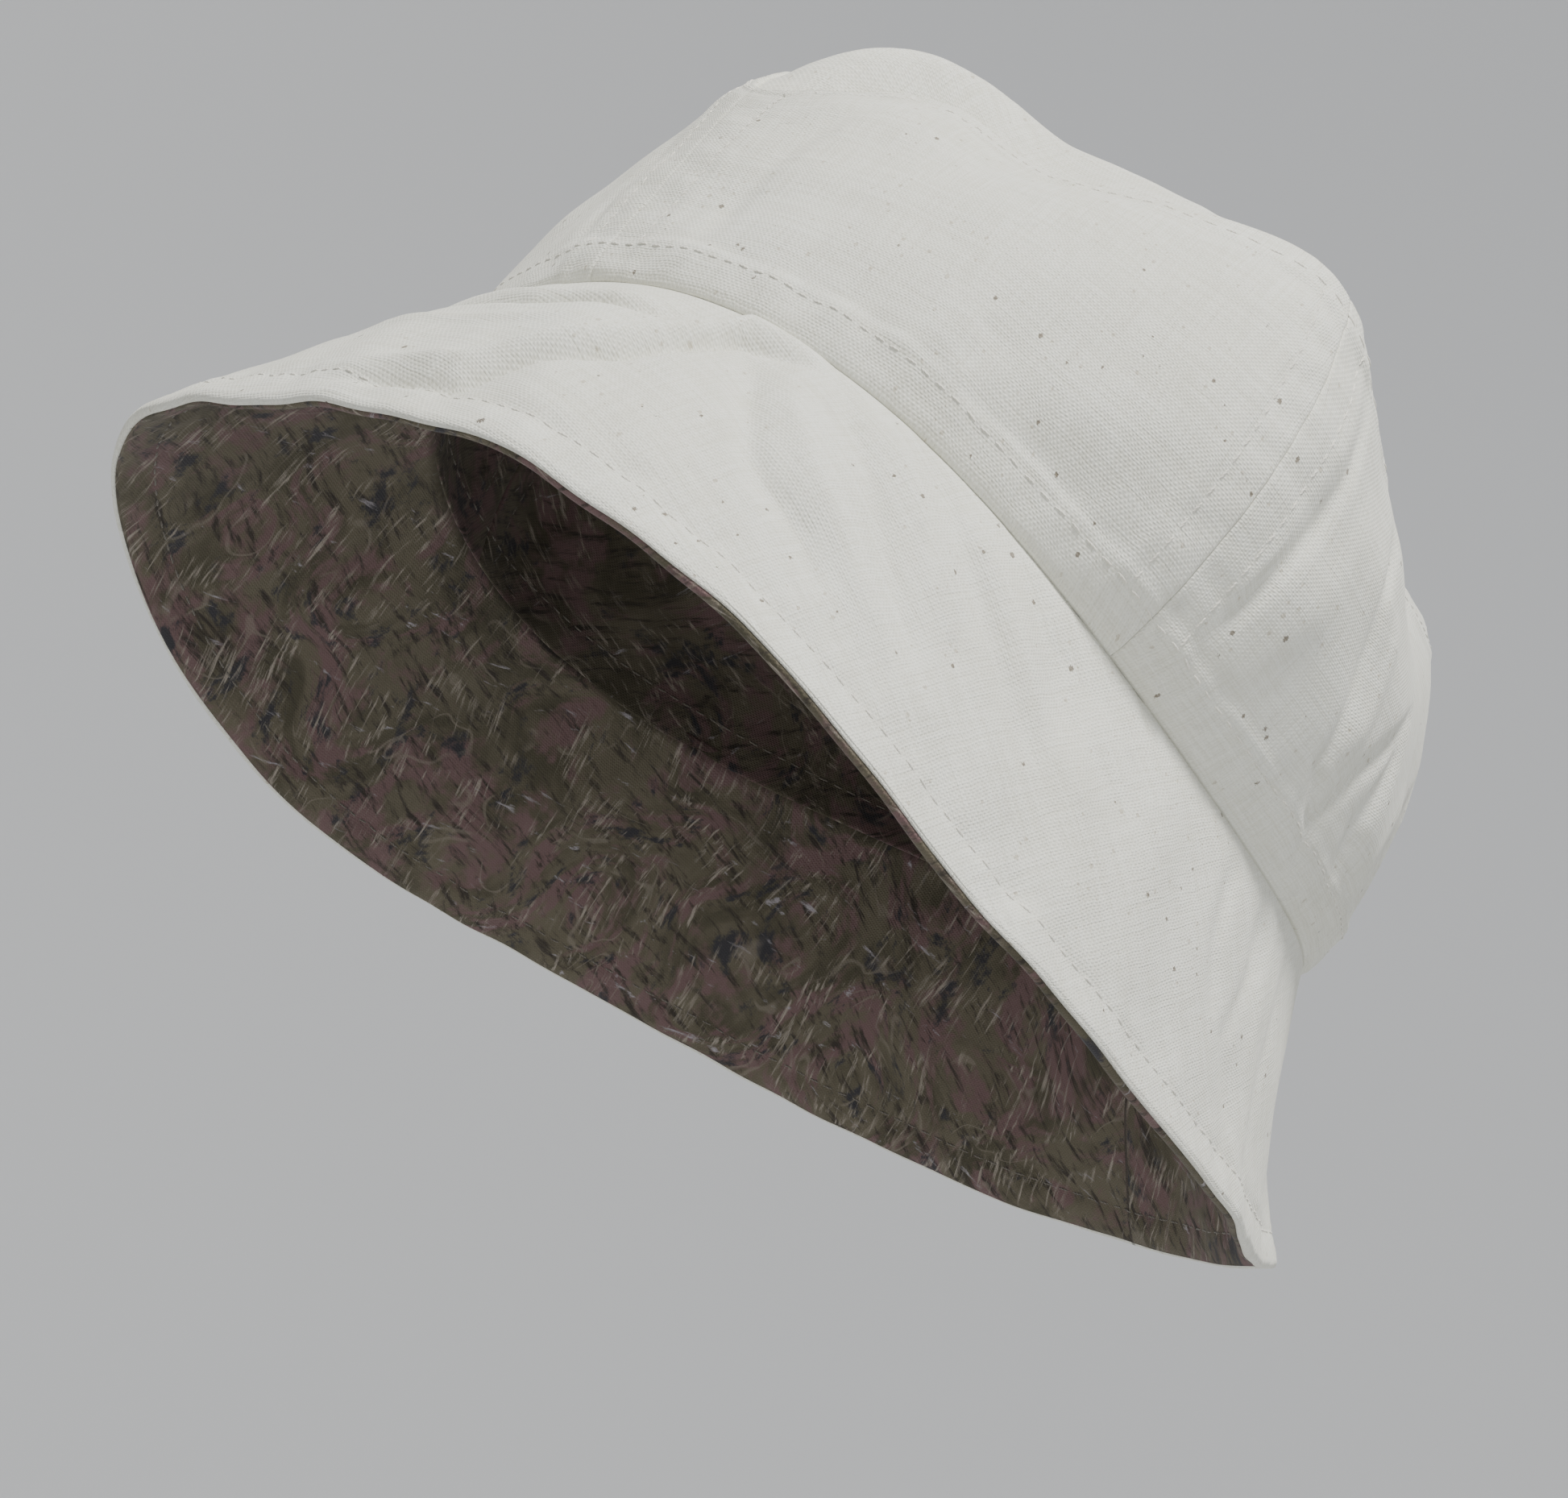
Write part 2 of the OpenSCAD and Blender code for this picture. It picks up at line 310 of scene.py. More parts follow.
# Folds of the brim and crown: [(turn, way), ...], rise in mm (a crease is negative), half width.
BRIM_FOLDS = [
    ([(-12, 0.84), (0, 0.73), (5, 0.53), (8.5, 0.4), (11, 0.24), (14, 0.04), (24, 0.0)], 1.8, 2.3),
    ([(-12, 0.92), (2, 0.82), (6, 0.62), (10.5, 0.47), (12.5, 0.32), (15, 0.13), (24, 0.06)],
     -2.2, 1.5),
    ([(-24, 0.3), (-5.5, 0.32), (1, 0.26), (6.5, 0.21), (9.5, 0.11)], -1.6, 1.1),
    ([(-24, 0.22), (-6, 0.26), (2, 0.2), (8, 0.1)], 0.9, 1.4),
    ([(-24, 0.52), (-6, 0.48), (4, 0.38)], 0.7, 1.8),
    ([(-34, 0.12), (-14, 0.1), (0, 0.1)], -0.3, 1.2),
    ([(18, 0.16), (21, 0.32), (25, 0.5), (28, 0.57), (32.5, 0.61), (37, 0.72)], -1.6, 2.6),
    ([(22, 0.12), (26, 0.3), (31, 0.44), (37, 0.54), (44, 0.72)], 1.2, 3.2),
    ([(25, 0.04), (29, 0.16), (33.5, 0.28), (37, 0.38), (42, 0.52), (49, 0.7)], -1.2, 2.8),
    ([(31, 0.04), (37, 0.18), (42, 0.32), (48, 0.48)], 0.8, 3.0),
    ([(34, 0.03), (40.5, 0.13), (46, 0.25), (51, 0.35), (58, 0.56)], -1.0, 2.7),
    ([(42, 0.06), (50, 0.2), (57, 0.36), (66, 0.5)], 0.7, 3.4),
    ([(46, 0.03), (53, 0.12), (62, 0.3), (70, 0.42)], -0.5, 3.0),
    ([(87, 0.06), (86.5, 0.2), (86.5, 0.36), (89, 0.56)], -0.8, 2.5),
    ([(70, 0.1), (76, 0.35), (84, 0.6)], -0.3, 4.8),
    ([(95, 0.03), (96, 0.27), (92, 0.56), (98, 0.8)], -0.7, 2.4),
    ([(100, 0.03), (99, 0.4), (99, 0.62)], 0.5, 3.0),
    ([(107, 0.1), (104, 0.5), (103, 0.85)], -0.6, 2.8),
    ([(-48, 0.1), (-42, 0.4), (-38, 0.75)], -0.6, 4.2),
    ([(-75, 0.15), (-70, 0.5), (-72, 0.8)], 0.6, 6.0),
    ([(-96, 0.08), (-92, 0.35), (-95, 0.6)], -0.6, 3.6),
    ([(-120, 0.1), (-112, 0.5), (-108, 0.8)], -0.7, 4.8),
    ([(130, 0.08), (134, 0.4), (132, 0.75)], -0.7, 4.3),
    ([(160, 0.08), (156, 0.45), (150, 0.8)], 0.6, 4.8),
    ([(-160, 0.08), (-150, 0.42), (-144, 0.7)], -0.6, 4.1),
]
CROWN_FOLDS = [
    ([(1, 0.1), (0, 0.3), (0, 0.5), (1, 0.7), (3, 0.86)], -0.9, 2.4),
    ([(6, 0.95), (14, 0.84), (26, 0.9)], 0.6, 5.0),
    ([(3, 0.97), (8, 0.9), (12, 0.95)], -0.7, 3.0),
    ([(66.3, 0.1), (67.8, 0.28), (68.8, 0.48), (69.4, 0.72), (69, 0.9)], -1.3, 1.5),
    ([(72, 0.12), (74, 0.4), (75, 0.75)], 0.5, 3.2),
    ([(95, 0.05), (87.5, 0.2), (85, 0.38), (82.5, 0.58), (84, 0.85)], -1.4, 2.0),
    ([(96, 0.04), (92.5, 0.14), (95, 0.3), (99, 0.42), (104, 0.56)], -1.3, 2.0),
    ([(90, 0.24), (89.5, 0.4), (88, 0.62)], 0.9, 2.6),
    ([(105, 0.1), (101, 0.22), (103, 0.5)], -1.1, 2.4),
    ([(114, 0.08), (111, 0.22), (114, 0.45)], 0.5, 3.6),
    ([(124, 0.1), (122, 0.3), (128, 0.6)], -0.8, 3.6),
    ([(33, 0.26), (36, 0.24), (34, 0.14)], -0.5, 3.0),
    ([(-16, 0.08), (-20, 0.3), (-19, 0.6)], -0.7, 2.2),
    ([(-44, 0.2), (-36, 0.5), (-42, 0.8)], -0.8, 4.5),
    ([(-110, 0.1), (-104, 0.4), (-112, 0.7)], -1.2, 3.6),
    ([(-125, 0.15), (-120, 0.45), (-128, 0.75)], 0.9, 4.0),
    ([(-92, 0.1), (-95, 0.4)], -0.9, 2.4),
    ([(172, 0.1), (166, 0.4), (170, 0.75)], -0.9, 3.6),
]


def row_groove(across, along, depth):
    """The groove under a row of stitching, a little deeper once in each stitch's pitch."""
    dips = 0.85 - 0.15 * cos(360 * along / STITCH_PITCH)
    return -depth * bell(across, GROOVE_HALF_WIDTH) * dips


def puckers(across, points, reach, size, seed):
    """Small gathers that stitching pulls into the cloth on both sides of a row."""
    return size * bell(across, reach) * ripple(points, 8.5, seed)


def beside_seam(turn, way):
    """Distance along the cloth from the nearest panel seam, with its sign."""
    offset = (turn - FIRST_SEAM + PANEL_TURN / 2) % PANEL_TURN - PANEL_TURN / 2
    return offset * mm_per_degree(turn, way)


def crown_shape(turn, way):
    """Relief that every layer of the crown shares."""
    points = crown_point(turn, way)
    free = np.clip(way * 8, 0, 1) * np.clip((1 - way) * 8, 0.35, 1)
    slack = 0.55 * ripple(points, 46, 1) + 0.22 * ripple(points, 21, 2)
    return free * slack + folds(turn, way, CROWN_FOLDS, CROWN_DEGREE, PANEL_HEIGHT)


def crown_distances(turn, way):
    """Distances on the crown wall from the nearest panel seam, the head seam and the tip seam."""
    return np.abs(beside_seam(turn, way)), way * PANEL_HEIGHT, (1 - way) * PANEL_HEIGHT


def lifted(distances, lifts, wander=0.0):
    """The rise over the cloth that is turned in beside the crown's three kinds of seam."""
    reaches = (ALLOWANCE, BAND_ALLOWANCE, TIP_ALLOWANCE)
    return sum(
        lift * plateau(distance, reach + wander)
        for distance, reach, lift in zip(distances, reaches, lifts)
    )


def crown_rows(turn, distances, grooves):
    """The grooves under the crown's three kinds of row."""
    seam, head, top = distances
    beside_panel, beside_head, beside_tip = grooves
    along = turn * CROWN_DEGREE
    rows = row_groove(seam - SEAM_MARGIN, head, beside_panel)
    rows = rows + row_groove(head - BAND_MARGIN, along, beside_head)
    return rows + row_groove(top - TIP_MARGIN, along, beside_tip)


def crown_relief(turn, way):
    """Relief of the calico crown: seams, pressed allowances and stitched grooves."""
    points = crown_point(turn, way)
    distances = crown_distances(turn, way)
    seam, head, top = distances
    thick = lifted(distances, CALICO_LIFTS, 0.35 * ripple(points, 24, 3))
    rows = crown_rows(turn, distances, CALICO_GROOVES)
    gathers = puckers(seam - SEAM_MARGIN / 2, points, 5.0, 0.12, 4)
    gathers = gathers + puckers(head - BAND_MARGIN, points, 4.5, 0.16, 5)
    gathers = gathers + puckers(top - TIP_MARGIN, points, 4.5, 0.16, 6)
    seams = turned_under(seam, *PANEL_ROLL) + turned_under(top, *TIP_ROLL)
    seams = seams + turned_under(head, *HEAD_ROLL)
    # At the tip and at the head seam the cloth comes down to meet its neighbour.
    meeting = np.clip(top / 1.6, 0, 1) ** 0.6 * (0.35 + 0.65 * np.clip(head / 1.5, 0, 1))
    return meeting * (crown_shape(turn, way) + thick + rows + gathers) + seams


def lining_crown_relief(turn, way):
    """Relief of the printed crown, seen from inside the hat, so seams sink outwards."""
    distances = crown_distances(turn, way)
    top = distances[2]
    thick = lifted(distances, LINING_LIFTS)
    rows = crown_rows(turn, distances, LINING_GROOVES)
    sunk = sum(turned_under(distance, *LINING_ROLL) for distance in distances)
    slack = 0.25 * ripple(crown_point(turn, way), 30, 7) * np.clip(top / 12, 0, 1)
    return crown_shape(turn, way) + slack - thick - rows - sunk


def inside_rim(turn, way):
    """Distance of a place on the tip from the tip seam."""
    return (1 - way) * np.linalg.norm(crown_point(turn, 1.0) - TIP_CENTRE, axis=-1)


def tip_relief(turn, way):
    """Relief of the tip: it puffs up at the front, and its rim turns under."""
    points = tip_point(turn, way)
    top = inside_rim(turn, way)
    free = np.clip(top / 9, 0, 1)
    puff = sum(
        rise * near(turn, middle, spread) * bell(top - inside, reach)
        for middle, spread, rise, inside, reach in TIP_PUFFS
    )
    slack = free * (1.0 * ripple(points, 52, 8) + 0.35 * ripple(points, 22, 9))
    gathers = puckers(top, points, 6.0, 0.2, 10)
    return free * puff + slack + free * gathers + turned_under(top, *TIP_ROLL)


def lining_tip_relief(turn, way):
    """The printed tip follows the calico one, but its rim doesn't turn under."""
    return tip_relief(turn, way) - turned_under(inside_rim(turn, way), *TIP_ROLL)


def brim_shape(turn, way):
    """Relief that every layer of the brim shares."""
    points = brim_point(turn, way)
    held = np.clip(way * 7, 0.1, 1)
    slack = held * (0.5 * ripple(points, 44, 11) + 0.2 * ripple(points, 20, 12))
    flick = 0.4 + 1.3 * bell(around(turn, 55), 55)
    edge_roll = flick * np.clip((way - 0.82) / 0.18, 0, 1) ** 2
    return slack + folds(turn, way, BRIM_FOLDS, BRIM_DEGREE, BRIM_WIDTH) + edge_roll


def brim_rows(turn, way, seed):
    """Groove of the row beside the brim's edge, and the gathers that it pulls."""
    inset = (1 - way) * BRIM_WIDTH
    points = brim_point(turn, way)
    groove = row_groove(inset - EDGE_MARGIN, turn * EDGE_DEGREE, EDGE_GROOVE)
    swelling = 0.3 * bell(inset - EDGE_MARGIN / 2, 3.2)
    return groove + swelling + puckers(inset - EDGE_MARGIN, points, 4.5, 0.17, seed)


BACK_SEAM = 170.0        # the brim's own joining seam, at the back


def beside_back_seam(turn, way):
    """Distance from the brim's joining seam. A degree there is longer towards the edge."""
    millimetres_in_degree = 1.57 + 0.45 * way
    return np.abs(around(turn, BACK_SEAM)) * millimetres_in_degree


def brim_relief(turn, way):
    """Relief of the calico brim."""
    back = beside_back_seam(turn, way)
    head = way * BRIM_WIDTH
    joint = CALICO_LIFTS[3] * plateau(back, ALLOWANCE) + turned_under(back, *BACK_ROLL)
    tuck = turned_under(head, *HEAD_ROLL)
    return brim_shape(turn, way) + brim_rows(turn, way, 13) + joint + tuck


def lining_brim_relief(turn, way):
    """Relief of the printed underside of the brim: rows and seams sink the other way."""
    back = beside_back_seam(turn, way)
    joint = LINING_LIFTS[3] * plateau(back, ALLOWANCE) + turned_under(back, *LINING_BACK_ROLL)
    return brim_shape(turn, way) - brim_rows(turn, way, 14) - joint


# ---- Meshes ----


CLOSE = np.array([0.0, 0.1, 0.25, 0.45, 0.7, 1.0, 1.4])      # first places beside a seam


def places(length, step):
    """Distances from 0 to length: even in the middle and close together at both ends."""
    count = max(2, int(round((length - 2 * CLOSE[-1]) / step)))
    middle = np.linspace(CLOSE[-1], length - CLOSE[-1], count + 1)[1:-1]
    return np.concatenate([CLOSE, middle, length - CLOSE[::-1]])


def build_mesh(name, points, quads, grain):
    """A mesh in metres from points in mm, with a UV map that gives cloth distances in mm."""
    mesh = bpy.data.meshes.new(name)
    mesh.vertices.add(len(points))
    mesh.vertices.foreach_set("co", (points * MM).astype(np.float32).ravel())
    mesh.loops.add(quads.size)
    mesh.loops.foreach_set("vertex_index", quads.astype(np.int32).ravel())
    mesh.polygons.add(len(quads))
    mesh.polygons.foreach_set("loop_start", np.arange(0, quads.size, 4, dtype=np.int32))
    mesh.polygons.foreach_set("use_smooth", np.ones(len(quads), bool))
    mesh.uv_layers.new(name="Grain")
    corners = grain[quads.ravel()].astype(np.float32)
    mesh.uv_layers["Grain"].data.foreach_set("uv", corners.ravel())
    mesh.update(calc_edges=True)
    mesh.validate()
    piece = bpy.data.objects.new(name, mesh)
    bpy.context.scene.collection.objects.link(piece)
    return piece


def grid_quads(rows, columns, close_rows=False, close_columns=False):
    """Squares between neighbouring points of a grid, which may close on itself either way."""
    i = np.arange(rows if close_rows else rows - 1)
    j = np.arange(columns if close_columns else columns - 1)
    i, j = np.meshgrid(i, j, indexing="ij")
    k = (i + 1) % rows
    m = (j + 1) % columns
    corners = [(i, j), (k, j), (k, m), (i, m)]
    return np.stack([row * columns + column for row, column in corners], -1).reshape(-1, 4)


def border(rows, columns):
    """The points round the edge of a grid, in order."""
    index = np.arange(rows * columns).reshape(rows, columns)
    return np.concatenate([index[0, :-1], index[:-1, -1], index[-1, :0:-1], index[:0:-1, 0]])


def closed_patch(name, outer, inner, grain):
    """Cloth with two matching faces, closed round its border."""
    rows, columns = outer.shape[:2]
    count = rows * columns
    face = grid_quads(rows, columns)
    edge = border(rows, columns)
    following = np.roll(edge, -1)
    rim = np.stack([edge, following, following + count, edge + count], -1)
    quads = np.concatenate([face, face[:, ::-1] + count, rim[:, ::-1]])
    points = np.concatenate([outer.reshape(-1, 3), inner.reshape(-1, 3)])
    grain = grain.reshape(-1, 2)
    return build_mesh(name, points, quads, np.concatenate([grain, grain]))


def closed_ring(name, sections, grain):
    """A ring of equal closed sections, one for each turn."""
    turns, size = sections.shape[:2]
    quads = grid_quads(turns, size, True, True)
    return build_mesh(name, sections.reshape(-1, 3), quads[:, ::-1], grain.reshape(-1, 2))


def face_out(piece):
    """Points a closed piece's faces outwards, whichever way its grid was wound."""
    mesh = piece.data
    co = np.zeros(len(mesh.vertices) * 3)
    mesh.vertices.foreach_get("co", co)
    co = co.reshape(-1, 3)
    corners = np.zeros(len(mesh.loops), np.int32)
    mesh.loops.foreach_get("vertex_index", corners)
    a, b, c, d = (co[corners.reshape(-1, 4)[:, k]] for k in range(4))
    volume = (np.cross(b, c) * a).sum() + (np.cross(c, d) * a).sum()
    if volume < 0:
        mesh.flip_normals()
    mesh.set_sharp_from_angle(angle=math.radians(60))


# ---- Pieces of cloth ----


BULGED_LENGTH = 1.04     # a panel's cloth, over its bulge, is this much longer than its height


def panel_piece(name, index, relief, lift, thickness, step):
    """One side panel of the crown, between two panel seams."""
    start = FIRST_SEAM + (index - 1) * PANEL_TURN
    degree = HEAD_ROUND / 360
    turns = start + (SIDE_GAP + places(PANEL_TURN * degree - 2 * SIDE_GAP, step)) / degree
    ways = (END_GAP + places(PANEL_HEIGHT - 2 * END_GAP, step)) / PANEL_HEIGHT
    turn, way = np.meshgrid(turns, ways, indexing="ij")
    height = lift + relief(turn, way)
    outer = crown_point(turn, way, height)
    inner = crown_point(turn, way, height - thickness)
    middle = start + PANEL_TURN / 2
    across = (turn - middle) * mm_per_degree(turn, way)
    upward = way * PANEL_HEIGHT * BULGED_LENGTH
    return closed_patch(name, outer, inner, np.stack([across, upward], -1))


def disc_places(count):
    """A square grid pulled onto a disc: the turn and way of each of its points."""
    rim = [0.983, 0.989, 0.994, 0.9975]
    half = np.concatenate([np.linspace(0, 0.975, count), rim])
    side = np.concatenate([-half[:0:-1], half])
    a, b = np.meshgrid(side, side, indexing="ij")
    wide = np.abs(a) >= np.abs(b)
    longer = np.where(wide, a, b)
    shorter = np.where(wide, b, a)
    slant = 45 * shorter / np.where(longer == 0, 1, longer)
    angle = np.where(wide, slant, 90 - slant)
    turn = np.where(longer < 0, angle + 180, angle) + 90
    return turn, np.abs(longer)


def tip_grain(turn, way, relief):
    """Where a place on the tip lies when it is laid flat, by its distance from the middle."""
    shares = np.linspace(0, 1, 17)
    line = [tip_point(turn, way * share, relief(turn, way * share)) for share in shares]
    reach = sum(np.linalg.norm(b - a, axis=-1) for a, b in zip(line[:-1], line[1:]))
    return np.stack([reach * sin(turn), reach * cos(turn)], -1)


def tip_piece(name, relief, lift, thickness, count):
    """The oval tip, sewn to the tops of the panels."""
    turn, way = disc_places(count)
    height = lift + relief(turn, way)
    outer = tip_point(turn, way, height)
    inner = tip_point(turn, way, height - thickness)
    return closed_patch(name, outer, inner, tip_grain(turn, way, relief))


CONE_SHARE = 0.497       # the brim laid flat is this share of a whole ring
CONE_RADIUS = HEAD_ROUND / (2 * math.pi * CONE_SHARE)


def brim_grain(turn, way):
    """Where a place on the brim lies when the brim is cut open and laid flat."""
    angle = (turn - BACK_SEAM) % 360 * CONE_SHARE
    radius = CONE_RADIUS + way * BRIM_WIDTH
    return np.stack([radius * cos(angle), radius * sin(angle)], -1)


def meeting_angle(turn):
    """How far round the brim's rolled edge the calico reaches, 0 on top to 180 beneath."""
    peeking = bell(around(turn, 52), 60)
    return 148 - 116 * peeking + 8 * sin(7 * turn) + 6 * sin(17 * turn + 40)


def edge_section(turn, angles, radius):
    """Points round the rolled edge. angles are 0 on the calico side, 180 on the lining side."""
    inset = EDGE_RADIUS - radius * sin(angles)
    lift = -EDGE_RADIUS + radius * cos(angles)
    way = 1 - inset / BRIM_WIDTH
    return brim_point(turn, way, lift + brim_shape(turn, way))


FLANGE = np.array([2.4, 1.7, 1.0, 0.4])      # heights of the brim's hidden top, behind the crown
FLANGE_LIFTS = (-0.9, -1.5)                  # how far in it lies: the calico's, the print's
EDGE_STEPS = 8                               # steps of each cloth round the rolled edge
EDGE_LENGTH = 2.2                            # and the length of cloth that they take up
EDGE_TUCK = 0.32                             # how far a cloth's end sinks where the two meet


def flange(turn, lift):
    grid_turn, way = np.broadcast_arrays(turn, FLANGE[None, :] / PANEL_HEIGHT)
    return crown_point(grid_turn, way, lift)


def brim_sections(turns, relief, lift, thickness, steps, outside):
    """Closed sections through one cloth of the brim, from the head seam round its edge."""
    flat = 1 - EDGE_RADIUS / BRIM_WIDTH
    start = END_GAP / BRIM_WIDTH
    seen_ways = np.linspace(start, flat, steps)
    hidden_ways = np.linspace(flat, start, steps // 3)
    turn = turns[:, None]
    meeting = meeting_angle(turn)
    share = np.linspace(0, 1, EDGE_STEPS + 1)[None, 1:]
    first = 0.0 if outside else 180.0
    angles = first + (meeting - first) * share
    seen_radius = EDGE_RADIUS * (1 - EDGE_TUCK * share**6)
    hidden_radius = EDGE_RADIUS - thickness

    def cloth(ways, depth):
        grid_turn, way = np.broadcast_arrays(turn, ways[None, :])
        return brim_point(grid_turn, way, lift - depth + relief(grid_turn, way))

    seen_depth, hidden_depth = (0, thickness) if outside else (thickness, 0)
    grid_turn = np.broadcast_to(turn, angles.shape)
    rolled = edge_section(grid_turn, angles, seen_radius)
    back = edge_section(grid_turn, angles, hidden_radius)[:, ::-1]
    top = FLANGE_LIFTS[0 if outside else 1]
    seen = [flange(turn, top - seen_depth), cloth(seen_ways, seen_depth), rolled]
    hidden = [back, cloth(hidden_ways, hidden_depth), flange(turn, top - hidden_depth)[:, ::-1]]
    points = np.concatenate(seen + hidden, 1)
    reach = flat + share[0] * EDGE_LENGTH / BRIM_WIDTH
    above = -FLANGE / BRIM_WIDTH
    way = np.concatenate([above, seen_ways, reach, reach[::-1], hidden_ways, above[::-1]])
    grid_turn, way = np.broadcast_arrays(turn, way[None, :])
    return points, brim_grain(grid_turn, way)


def even_turns(count):
    return np.arange(count) * 360.0 / count


def brim_piece(name, relief, lift, thickness, grid, outside):
    columns, steps = grid
    points, grain = brim_sections(even_turns(columns), relief, lift, thickness, steps, outside)
    return closed_ring(name, points, grain)


def stiffener_piece(name, columns, steps):
    """Interlining between the brim's two cloths. It stops short of the rolled edge."""
    below_seam, short_of_edge = 0.8, 3.2
    ways = np.linspace(below_seam / BRIM_WIDTH, 1 - short_of_edge / BRIM_WIDTH, steps)
    turn, way = np.broadcast_arrays(even_turns(columns)[:, None], ways[None, :])
    height = STIFFENER_LIFT + brim_shape(turn, way)
    outer = brim_point(turn, way, height)
    inner = brim_point(turn, way, height - STIFFENER)[:, ::-1]
    grain = brim_grain(turn, way)
    both_grains = np.concatenate([grain, grain[:, ::-1]], 1)
    return closed_ring(name, np.concatenate([outer, inner], 1), both_grains)


# ---- Stitching ----

STITCH_SIDES = 8
STITCH_STEPS = 7
SIDE_WIDTH = 0.16        # the width of one side of a stitch, for its cloth distances
STITCH_SUNK = -0.2       # a stitch's ends lie this deep in the cloth
STITCH_RISE = 0.26       # and its middle is this much higher


def stitch_tubes(middles, ups, radius):
    """Short closed tubes along lines of points, (stitches, steps, 3), each with its own up."""
    ahead = np.gradient(middles, axis=1)
    ahead /= np.linalg.norm(ahead, axis=-1, keepdims=True)
    side = np.cross(ahead, ups)
    side /= np.linalg.norm(side, axis=-1, keepdims=True)
    up = np.cross(side, ahead)
    angle = even_turns(STITCH_SIDES)
    taper = np.array([0.25, 0.8] + [1.0] * (STITCH_STEPS - 4) + [0.8, 0.25])
    across = side[:, :, None] * tall(cos(angle)) + up[:, :, None] * tall(sin(angle))
    return middles[:, :, None] + radius * taper[None, :, None, None] * across


def join_tubes(name, groups):
    """One mesh from groups of closed tubes, with caps of quads at both ends."""
    points, quads, grain = [], [], []
    first = 0
    for tubes in groups:
        count, steps, sides = tubes.shape[:3]
        body = grid_quads(steps, sides, False, True)
        pairs = range(sides // 2 - 1)
        cap = np.array([[k, k + 1, sides - k - 2, sides - k - 1] for k in pairs])
        one = np.concatenate([body, cap, cap[:, ::-1] + (steps - 1) * sides])
        start = first + np.arange(count)[:, None, None] * steps * sides
        quads.append((one[None] + start).reshape(-1, 4))
        points.append(tubes.reshape(-1, 3))
        along = np.linalg.norm(np.diff(tubes.mean(2), axis=1), axis=-1)
        along = np.concatenate([np.zeros((count, 1)), np.cumsum(along, 1)], 1)
        along = along + np.arange(count)[:, None] * STITCH_PITCH
        round_it = np.arange(sides)[None, None] * SIDE_WIDTH
        u, v = np.broadcast_arrays(along[:, :, None], round_it)
        grain.append(np.stack([u, v], -1).reshape(-1, 2))
        first += count * steps * sides
    return build_mesh(name, np.concatenate(points), np.concatenate(quads), np.concatenate(grain))


def row_of_stitches(length, place, up, outside, seed):
    """Tubes of a row. place(distances, height) gives points, height being above the cloth."""
    random = np.random.default_rng(seed)
    count = int(length / STITCH_PITCH)
    pitch = length / count
    starts = np.arange(count) * pitch + random.uniform(-0.12, 0.12, count)
    lengths = STITCH_LENGTH * random.uniform(0.92, 1.06, count)
    share = np.linspace(0, 1, STITCH_STEPS)
    distances = starts[:, None] + lengths[:, None] * share[None]
    arch = np.sqrt(np.clip(1 - (2 * share - 1) ** 2, 0, 1))
    height = (STITCH_SUNK + STITCH_RISE * arch)[None] * np.ones((count, 1))
    height = height if outside else -height
    slant = random.uniform(-0.1, 0.1, count)[:, None] * (2 * share - 1)[None]
    return stitch_tubes(place(distances, height, slant), up(distances), STITCH_RADIUS)


def crown_row(level, lift, relief, outside, seed):
    """A row round the crown, at a height in mm above the head seam."""
    length = 360 * mm_per_degree(0.0, level / PANEL_HEIGHT)

    def place(distances, height, slant):
        turn = distances / length * 360
        way = (level + slant) / PANEL_HEIGHT
        return crown_point(turn, way, lift + relief(turn, way) + height)

    return row_of_stitches(length, place, lambda d: crown_face(d / length * 360), outside, seed)


def climbing_row(seam, side, lift, relief, outside, seed):
    """A row that climbs the crown beside a panel seam."""
    clear = 0.6
    start = BAND_MARGIN + clear
    end = PANEL_HEIGHT - TIP_MARGIN - clear

    def turn_at(way, slant):
        beside = side * SEAM_MARGIN + slant
        return seam + beside / mm_per_degree(seam, way)

    def place(distances, height, slant):
        way = (start + distances) / PANEL_HEIGHT
        turn = turn_at(way, slant)
        return crown_point(turn, way, lift + relief(turn, way) + height)

    def up(distances):
        return crown_face(turn_at((start + distances) / PANEL_HEIGHT, 0.0))

    return row_of_stitches(end - start, place, up, outside, seed)


def brim_edge_row(lift, relief, outside, seed):
    """The row inside the brim's edge."""
    level = 1 - EDGE_MARGIN / BRIM_WIDTH
    ring = brim_point(even_turns(720), level)
    length = np.linalg.norm(ring - np.roll(ring, 1, 0), axis=1).sum()

    def place(distances, height, slant):
        turn = distances / length * 360
        way = level + slant / BRIM_WIDTH
        return brim_point(turn, way, lift + relief(turn, way) + height)

    return row_of_stitches(length, place, lambda d: brim_face(d / length * 360), outside, seed)


# ---- Materials ----


